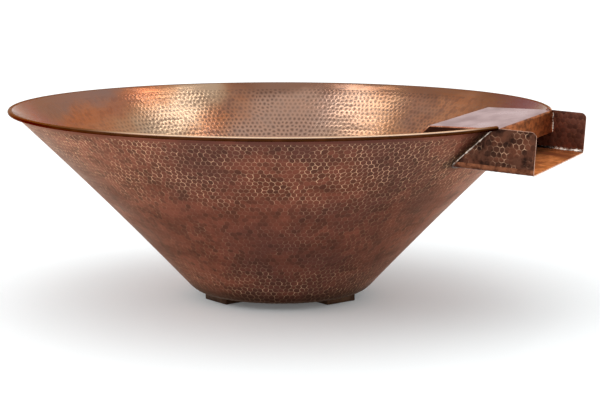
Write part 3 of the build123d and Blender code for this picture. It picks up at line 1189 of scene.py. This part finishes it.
@dataclass
class Spillway:
    """Channel and hood of the outlet, with the beads that hold them to the bowl and along the side plates."""

    bowl: Bowl
    outlet: Outlet
    channel_half: float = 132.3 * MM
    channel_side: float = 58 * MM
    channel_bend: float = 6 * MM
    fold_strip: float = 8.5 * MM
    channel_corner: float = 8 * MM
    corner_steps: int = 6
    channel_length: float = 149 * MM
    front_trim: float = 0.1 * MM
    level_from: float = 0.9
    fold_from: float = math.sin(math.radians(8))
    apron_x: float = 373 * MM
    apron_bottom: float = 246.3 * MM
    apron_from: float = 0.5
    hood_top: float = 278.1 * MM
    hood_inner: float = 275 * MM
    hood_bend: float = 3.5 * MM
    baffle_drop: float = 62 * MM
    seam_steps: int = 24
    floor_steps: int = 46
    floor_tries: int = 4
    apron_steps: int = 12
    channel_bead: float = 1.25 * MM
    bead_end: float = 2.3 * MM
    apron_bead: float = 1.4 * MM
    plate_bead: float = 1.7 * MM
    plate_bead_in: float = 0.7 * MM
    apron_bead_out: float = 0.5 * MM
    side_bead_out: Pair = (0.5 * MM, 0.8 * MM)
    floor_bead_out: Pair = (0.6 * MM, 0.8 * MM)
    lip_end_in: float = 1.2 * MM
    channel_marks: HammerMarks = HammerMarks(7.6 * MM, 6.8 * MM, wander=3.6 * MM, dish=0.25 * MM, seed=11)
    hood_marks: HammerMarks = HammerMarks(11 * MM, 9.5 * MM, wander=3.0 * MM, dish=0.1 * MM, seed=7)

    def channel(self) -> Object:
        """Builds the hammered channel, folded from one sheet and trimmed to the bowl.

        Returns:
            The finished channel.
        """
        fold = math.pi / 2 * self.channel_bend
        flat_half = self.channel_half - self.channel_bend
        half = flat_half + fold + self.channel_side - self.channel_bend
        above = Vector((0, 0, 1))
        sheet = self.channel_marks.flat("channel_hammered", (-self.channel_length, -half), (0, half), above)
        dress(sheet, SPOUT_OUTSIDE, SPOUT_INSIDE, CUT_EDGE)
        mode("EDIT")
        strip = flat_half + fold + self.fold_strip - self.channel_bend
        for side in Side:
            self.round_corner(side, half)
            cut((0, side.value * strip, 0), (0, 1, 0))
        for side in Side:
            Fold(side.value * flat_half, self.channel_bend, 90, side, True).bend(sheet)
        mode("OBJECT")
        thicken(sheet, self.bowl.sheet, edge_slot=2)
        mode("EDIT")
        pick(sheet, Pick.VERT, lambda v: v.co.x > -self.front_trim)
        bpy.ops.transform.resize(value=(0, 1, 1), center_override=(-self.front_trim, 0, 0))
        slant = 2 * self.fold_from
        paint(
            sheet, CHANNEL_FLOOR,
            lambda f: f.normal.z > self.level_from and middle(f).z < self.channel_bend,
        )
        # Painted reflection: near-white broken strips on the inner bends
        paint(sheet, FOLD_INSIDE, lambda f: f.normal.z > slant and abs(f.normal.y) > slant)
        paint(
            sheet, FOLD_OUTSIDE,
            lambda f: f.normal.y * middle(f).y > self.fold_from * abs(middle(f).y)
            and middle(f).z < self.fold_strip,
        )
        mode("OBJECT")
        settle(sheet, (self.outlet.front[0], 0, self.outlet.front[1]), self.outlet.tilt, "Y")
        cutter = self.bowl.cutter()
        apply_modifier(sheet, "BOOLEAN", object=cutter, operation="DIFFERENCE", solver="EXACT")
        bpy.data.objects.remove(cutter)
        return finish_piece(sheet, Body.BOWL, ["spout_trough"])

    def round_corner(self, side: Side, half: float) -> None:
        """Rounds a front corner of the flat channel sheet with a few straight cuts.

        Args:
            side: Which corner.
            half: Half of the sheet's breadth.
        """
        centre = Vector((-self.channel_corner, side.value * (half - self.channel_corner), 0))
        step = 90 / self.corner_steps
        reach = self.channel_corner * math.cos(math.radians(step / 2))
        for i in range(1, self.corner_steps):
            angle = math.radians(i * step)
            way = Vector((math.cos(angle), side.value * math.sin(angle), 0))
            cut(centre + reach * way, way, clear=True)

    def hood(self) -> Object:
        """Builds the hood: apron, flat top and baffle folded from one sheet.

        Returns:
            The finished hood.
        """
        angle = self.bowl.rim_angle
        front_from = self.apron_x - self.hood_bend
        front = Fold(front_from, self.hood_bend, 90, Side.FAR, False)
        set_back = self.hood_bend * math.tan(math.radians(angle / 2))
        back = Fold(self.hood_inner + set_back, self.hood_bend, angle, Side.NEAR, False)
        apron = self.hood_top - self.hood_bend - self.apron_bottom
        baffle = self.baffle_drop / math.sin(math.radians(angle)) - set_back
        low = (-self.outlet.half, back.start - back.length - baffle)
        high = (self.outlet.half, front.start + front.length + apron)
        sheet = self.hood_marks.flat("hood_folded", low, high, Vector((0, 0, -1)))
        dress(sheet, HOOD_TOP, DUCT, CUT_EDGE)
        mode("EDIT")
        front.bend(sheet)
        back.bend(sheet)
        mode("OBJECT")
        settle(sheet, (0, 0, self.hood_top), -90, "Z")
        thicken(sheet, self.bowl.sheet, edge_slot=2)
        mode("EDIT")
        paint(sheet, APRON, lambda f: f.normal.x > self.apron_from and middle(f).x > front_from)
        mode("OBJECT")
        return finish_piece(sheet, Body.BOWL, ["spout_hood"])

    def seam(self, side: Side) -> list[Vector]:
        """Path of the bead down one side of the channel, from the lip's cut end to the floor.

        Args:
            side: Which side of the channel.

        Returns:
            Points in the shared frame.
        """
        y = side.value * self.channel_half
        roll_x, roll_z = self.bowl.roll_centre
        floor = self.outlet.floor(self.bowl.wall_x(self.outlet.front[1], y))
        heights = spaced(roll_z - self.bowl.roll_outside, floor + self.channel_bend, self.seam_steps)
        out = Vector((self.side_bead_out[0], side.value * self.side_bead_out[1], 0))
        inset = self.channel_bend * (1 - math.sqrt(0.5))
        turn_y, turn_z = y - side.value * inset, floor + inset
        corner = Vector((self.bowl.wall_x(turn_z, turn_y), turn_y, turn_z))
        lip_end = Vector((math.sqrt(roll_x**2 - y**2), y - side.value * self.lip_end_in, roll_z))
        return [lip_end, *(Vector((self.bowl.wall_x(h, y), y, h)) + out for h in heights), corner]

    def floor_seam(self) -> list[Vector]:
        """Draws the path of the bead under the channel's floor.

        Returns:
            Points from the near side to the far one.
        """
        path = []
        half = self.channel_half - self.channel_bend
        out, down = self.floor_bead_out
        for y in spaced(-half, half, self.floor_steps):
            x = self.bowl.wall_x(self.outlet.front[1], y)
            for _ in range(self.floor_tries):
                x = self.bowl.wall_x(self.outlet.floor(x), y)
            path.append(Vector((x + out, y, self.outlet.floor(x) - down)))
        return path

    def welds(self) -> list[Object]:
        """Builds the beads round the channel, at the apron and along the side plates.

        Returns:
            The finished beads.
        """
        path = self.seam(Side.NEAR) + self.floor_seam() + self.seam(Side.FAR)[::-1]
        bead = Bead("channel_weld", ["trough_weld"], path, self.channel_bead, seed=3, ends=self.bead_end)
        pieces = [bead.lay()]
        low, top = self.hood_top - self.baffle_drop, self.bowl.roll_centre[1] - self.bowl.roll_outside
        depth = self.bowl.sheet + self.plate_bead_in
        apron_heights = spaced(self.apron_bottom, self.hood_top - self.hood_bend, self.apron_steps)
        plate_heights = spaced(low, top, self.seam_steps)
        for side in Side:
            word = side.name.lower()
            y = side.value * (self.outlet.half - self.apron_bead_out)
            path = [Vector((self.apron_x + self.apron_bead_out, y, h)) for h in apron_heights]
            bead = Bead(f"apron_bead_{word}", [f"apron_weld_{word}"], path, self.apron_bead, seed=5)
            pieces.append(bead.lay())
            y = side.value * (self.outlet.half + self.plate_bead_in)
            path = [Vector((self.bowl.wall_x(h, y, depth), y, h)) for h in plate_heights]
            bead = Bead(f"plate_bead_{word}", [f"hood_weld_{word}"], path, self.plate_bead, seed=9)
            pieces.append(bead.lay())
        return pieces


@dataclass
class Bead:
    """Lumpy weld bead along a seam."""

    name: str
    nodes: list[str]
    path: list[Vector]
    radius: float
    seed: int
    closed: bool = False
    ends: float | None = None
    thinnest: float = 0.5
    thickest: float = 1.45
    merge_gap: float = 0.05 * MM

    def lay(self) -> Object:
        """Draws the path, swells it to a bead and rounds it off.

        Returns:
            The finished bead.
        """
        nothing()
        bpy.ops.mesh.primitive_plane_add(size=MM)
        obj = named(self.name)
        mode("EDIT")
        bpy.ops.mesh.select_mode(type=Pick.VERT.value)
        whole()
        bpy.ops.mesh.merge(type="CENTER")
        bpy.ops.transform.translate(value=self.path[0])
        for start, end in zip(self.path, self.path[1:]):
            bpy.ops.mesh.extrude_region_move(TRANSFORM_OT_translate={"value": end - start})
        if self.closed:
            whole()
            bpy.ops.mesh.remove_doubles(threshold=self.merge_gap)
        mode("OBJECT")
        dice = random.Random(self.seed)
        skin = obj.modifiers.new("skin", "SKIN")
        corners = obj.data.skin_vertices[0].data
        for corner in corners:
            corner.radius = [self.radius * dice.uniform(self.thinnest, self.thickest) for _ in range(2)]
        if self.ends:
            for corner in (corners[0], corners[-1]):
                corner.radius = (self.ends, self.ends)
        bpy.ops.object.modifier_apply(modifier=skin.name)
        apply_modifier(obj, "SUBSURF", levels=2, render_levels=2)
        dress(obj, WELD)
        return finish_piece(obj, Body.BOWL, self.nodes, angle=60)


# Inlet, diffuser and feet


@dataclass
class Inlet:
    """Threaded coupling through the base and the bead round it."""

    radius: float = 30 * MM
    thread_crest: float = 21.85 * MM
    thread_depth: float = 1.3 * MM
    thread_pitch: float = 2.2 * MM
    bottom: float = 1 * MM
    top: float = 46 * MM
    chamfer: float = 1.5 * MM
    corners: int = 64
    weld_radius: float = 31.4 * MM
    weld_level: float = 12.6 * MM
    weld_bead: float = 2.2 * MM
    weld_steps: int = 60
    merge_gap: float = 0.01 * MM

    def coupling(self) -> Object:
        """Builds the coupling with its inner thread.

        Returns:
            The finished coupling.
        """
        wide, narrow = self.thread_crest + self.chamfer, self.radius - self.chamfer
        low, high = self.bottom + self.chamfer, self.top - self.chamfer
        rings = [(wide, self.bottom), (narrow, self.bottom), (self.radius, low), (self.radius, high)]
        rings += [(narrow, self.top), (wide, self.top), (self.thread_crest, high)]
        height = high
        while height - self.thread_pitch > low:
            root = (self.thread_crest + self.thread_depth, height - self.thread_pitch / 2)
            rings += [root, (self.thread_crest, height - self.thread_pitch)]
            height -= self.thread_pitch
        rings.append((self.thread_crest, low))
        obj = turn("inlet_threaded", rings + rings[:1], self.corners)
        mode("EDIT")
        whole()
        bpy.ops.mesh.remove_doubles(threshold=self.merge_gap)
        bpy.ops.mesh.normals_make_consistent(inside=False)
        mode("OBJECT")
        dress(obj, BRASS)
        return finish_piece(obj, Body.BOWL, ["inlet_coupling"], angle=20)

    def weld(self) -> Object:
        """Builds the bead between coupling and base.

        Returns:
            The finished bead.
        """
        ways = spaced(0.0, 2 * math.pi, self.weld_steps)
        around = [(self.weld_radius * math.cos(w), self.weld_radius * math.sin(w)) for w in ways]
        path = [Vector((*place, self.weld_level)) for place in around]
        return Bead("inlet_bead", ["inlet_weld"], path, self.weld_bead, seed=13, closed=True).lay()


@dataclass
class Diffuser:
    """Lift-off diffuser: a hammered disc on three posts over a collar."""

    disc_radius: float = 60 * MM
    disc_top: float = 74.6 * MM
    disc_edge: float = 8 * MM
    disc_bend: float = 5 * MM
    bend_steps: int = 5
    edge_corners: int = 96
    pole: float = 0.3 * MM
    joint_gap: float = 0.4 * MM
    joint_from: float = 0.2 * MM
    joint_to: float = 0.5 * MM
    sheet: float = 1.6 * MM
    marks: HammerMarks = HammerMarks(7.4 * MM, 7.0 * MM, wander=1.8 * MM, dish=0.14 * MM, seed=3)

    def disc(self) -> Object:
        """Builds the hammered disc with its turned-down edge.

        Returns:
            The finished disc.
        """
        flat = self.disc_radius - self.disc_bend
        count = round(flat / self.marks.row_step)
        rows = [(flat * row / count, self.disc_top) for row in range(1, count + 1)]
        below = Vector((0, 0, 0))
        disc = self.marks.turned("diffuser_hammered", [(self.pole, self.disc_top), *rows], below)
        bend = [
            (flat + self.disc_bend * math.sin(way), self.disc_top - self.disc_bend * (1 - math.cos(way)))
            for way in spaced(0.0, math.pi / 2, self.bend_steps)
        ]
        bend[0] = (flat + self.joint_gap, self.disc_top)
        bend.append((self.disc_radius, self.disc_top - self.disc_edge))
        edge = turn("diffuser_edge", bend, self.edge_corners)
        self.marks.spare(edge)
        join(disc, edge)
        mode("EDIT")
        fill_between(disc, flat - self.joint_from, flat + self.joint_to)
        pick(disc, Pick.EDGE, lambda e: e.is_boundary and e.verts[0].co.xy.length < flat / 2)
        bpy.ops.mesh.edge_face_add()
        face_away(disc, below)
        mode("OBJECT")
        dress(disc, BOWL_INSIDE, DUCT, CUT_EDGE)
        thicken(disc, self.sheet, edge_slot=2)
        return finish_piece(disc, Body.DIFFUSER, ["diffuser_disc"])


@dataclass
class Feet:
    """Square bronze feet under the base."""

    side: float = 52 * MM
    height: float = 10 * MM
    circle: float = 84.5 * MM
    turn_by: float = 62.0
    first_bearing: float = -7.0
    edge: float = 1.2 * MM
    edge_steps: int = 3
    names: tuple[str, ...] = ("foot_front", "foot_back", "foot_left")

    def build(self) -> list[Object]:
        """Builds the three feet, each a block with softened edges.

        Returns:
            The finished feet.
        """
        pieces = []
        for index, node in enumerate(self.names):
            bearing = math.radians(self.first_bearing + 360 / len(self.names) * index)
            nothing()
            bpy.ops.mesh.primitive_cube_add(size=1)
            foot = named(f"{node}_cast")
            mode("EDIT")
            bpy.ops.transform.resize(value=(self.side, self.side, self.height))
            bpy.ops.mesh.bevel(offset=self.edge, segments=self.edge_steps, affect="EDGES")
            mode("OBJECT")
            place = (self.circle * math.cos(bearing), self.circle * math.sin(bearing), self.height / 2)
            settle(foot, place, self.turn_by, "Z")
            dress(foot, BRONZE)
            pieces.append(finish_piece(foot, Body.BOWL, [node]))
        return pieces


@dataclass(frozen=True)
class CarriedOver:
    """CAD nodes that keep their own mesh and get a finish."""

    finish: BareMetal
    nodes: tuple[str, ...]

    def dress(self) -> list[Object]:
        """Puts the finish in the nodes' material slots.

        Returns:
            The nodes.
        """
        pieces = [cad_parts[name] for name in self.nodes]
        for piece in pieces:
            for slot in piece.material_slots:
                slot.material = self.finish.material()
        return pieces


# The studio


@dataclass(frozen=True)
class Softbox:
    """Soft light with an even face, hung facing down or aimed at a target."""

    name: str
    place: Triple
    size: Pair
    brightness: float
    target: Triple | None = None

    def hang(self) -> None:
        """Adds the light."""
        bpy.ops.object.light_add(type="AREA", location=self.place)
        lamp = named(self.name)
        lamp.data.shape = "RECTANGLE"
        lamp.data.size, lamp.data.size_y = self.size
        lamp.data.energy = self.brightness * math.pi * self.size[0] * self.size[1]
        if self.target:
            aim = Vector(self.target) - Vector(self.place)
            lamp.rotation_euler = aim.to_track_quat("-Z", "Y").to_euler()


@dataclass
class Studio:
    """White floor, even white surround, softboxes and the camera."""

    floor_size: float = 80.0
    floor_tone: str = "f4f8f9"
    lift: float = 0.09
    surround_low: float = 1.12
    surround_high: float = 1.3
    overhead_from: float = 0.7
    overhead_to: float = 0.82
    softboxes: tuple[Softbox, ...] = (
        Softbox("softbox_right", (0.39, 0.85, 2.1), (0.08, 0.66), 5.2),
        Softbox("softbox_left", (-0.7, 0.2, 2.1), (0.5, 0.14), 4.3),
        Softbox("softbox_front", (-1.7, -2.4, 2.0), (1.6, 1.6), 2, (0.0, 0.0, 0.1)),
    )
    camera_place: Triple = (0.9945, -2.2049, 0.5251)
    camera_aim: Triple = (-0.3954, 0.9051, -0.1568)
    camera_roll: float = 0.073
    lens: float = 99.47
    sensor: float = 36.0

    def build(self) -> None:
        """Adds floor, surround, lights and camera."""
        self.floor()
        self.world()
        for softbox in self.softboxes:
            softbox.hang()
        self.camera()

    def floor(self) -> None:
        """Adds a pale floor that reads as white to the eye and keeps the bowl's shadow."""
        nothing()
        bpy.ops.mesh.primitive_plane_add(size=self.floor_size)
        floor = named("studio_floor")
        # Matt white board: even, with no gloss, lifted a little where it is seen
        material, tree, shader = new_material("matt_white_floor")
        lift = {0: self.seen(tree), 1: self.lift}
        sockets = {"Base Color": linear(self.floor_tone), "Roughness": 1.0, "Specular IOR Level": 0.0}
        sockets["Emission Color"] = (1, 1, 1, 1)
        sockets["Emission Strength"] = add_node(tree, "ShaderNodeMath", lift, operation="MULTIPLY").outputs[0]
        feed(tree, shader, sockets)
        floor.data.materials.append(material)

    @staticmethod
    def seen(tree: NodeTree) -> NodeSocket:
        """Says which rays are seen, straight or in a reflection.

        Args:
            tree: Node tree to add to.

        Returns:
            Output that is 1 for camera, glossy and transmission rays.
        """
        path = add_node(tree, "ShaderNodeLightPath").outputs
        seen = path["Is Camera Ray"]
        for other in ("Is Glossy Ray", "Is Transmission Ray"):
            seen = add_node(tree, "ShaderNodeMath", {0: seen, 1: path[other]}, operation="MAXIMUM").outputs[0]
        return seen

    def world(self) -> None:
        """Adds a white surround, as white as paper where it is seen and brighter overhead for the floor."""
        scene = bpy.context.scene
        scene.world = bpy.data.worlds.new("studio_surround")
        scene.world.use_nodes = True
        tree = scene.world.node_tree
        way = add_node(tree, "ShaderNodeTexCoord").outputs["Generated"]
        rise = add_node(tree, "ShaderNodeSeparateXYZ", {"Vector": way}).outputs["Z"]
        sockets = {"Value": rise, "From Min": self.overhead_from, "From Max": self.overhead_to}
        sockets |= {"To Min": self.surround_low, "To Max": self.surround_high}
        light = add_node(tree, "ShaderNodeMapRange", sockets).outputs["Result"]
        sockets = {"Value": self.seen(tree), "To Min": light, "To Max": 1.0}
        strength = add_node(tree, "ShaderNodeMapRange", sockets).outputs["Result"]
        feed(tree, tree.nodes["Background"], {"Color": (1, 1, 1, 1), "Strength": strength})
        scene.view_settings.view_transform = "Standard"

    def camera(self) -> None:
        """Adds the camera at the photograph's viewing angle."""
        bpy.ops.object.camera_add(location=self.camera_place)
        camera = named("camera")
        camera.data.lens = self.lens
        camera.data.sensor_width = self.sensor
        camera.data.sensor_fit = "HORIZONTAL"
        aim = Vector(self.camera_aim).to_track_quat("-Z", "Y").to_matrix()
        roll = Matrix.Rotation(math.radians(self.camera_roll), 3, "Z")
        camera.rotation_euler = (aim @ roll).to_euler()
        bpy.context.scene.camera = camera


def main() -> None:
    """Builds every piece in order, dresses the carried-over nodes, reports them and sets the studio."""
    logging.basicConfig(level=logging.INFO, format="%(name)s %(message)s")
    bowl, outlet, inlet = Bowl(), Outlet(), Inlet()
    spillway = Spillway(bowl, outlet)
    pieces = [bowl.build(outlet), spillway.channel(), spillway.hood(), *spillway.welds()]
    pieces += [inlet.coupling(), inlet.weld(), Diffuser().disc(), *Feet().build()]
    posts = ("diffuser_post_1", "diffuser_post_2", "diffuser_post_3")
    pieces += CarriedOver(DUCT, ("cheek_near", "cheek_far")).dress()
    pieces += CarriedOver(WIRE, ("rim_wire", "diffuser_rivets")).dress()
    pieces += CarriedOver(BRASS, ("diffuser_collar", *posts)).dress()
    for piece in pieces:
        log.info("%s: %d faces, %s", piece.name, len(piece.data.polygons), piece.material_slots[0].name)
    Studio().build()


if __name__ == "__main__":
    main()
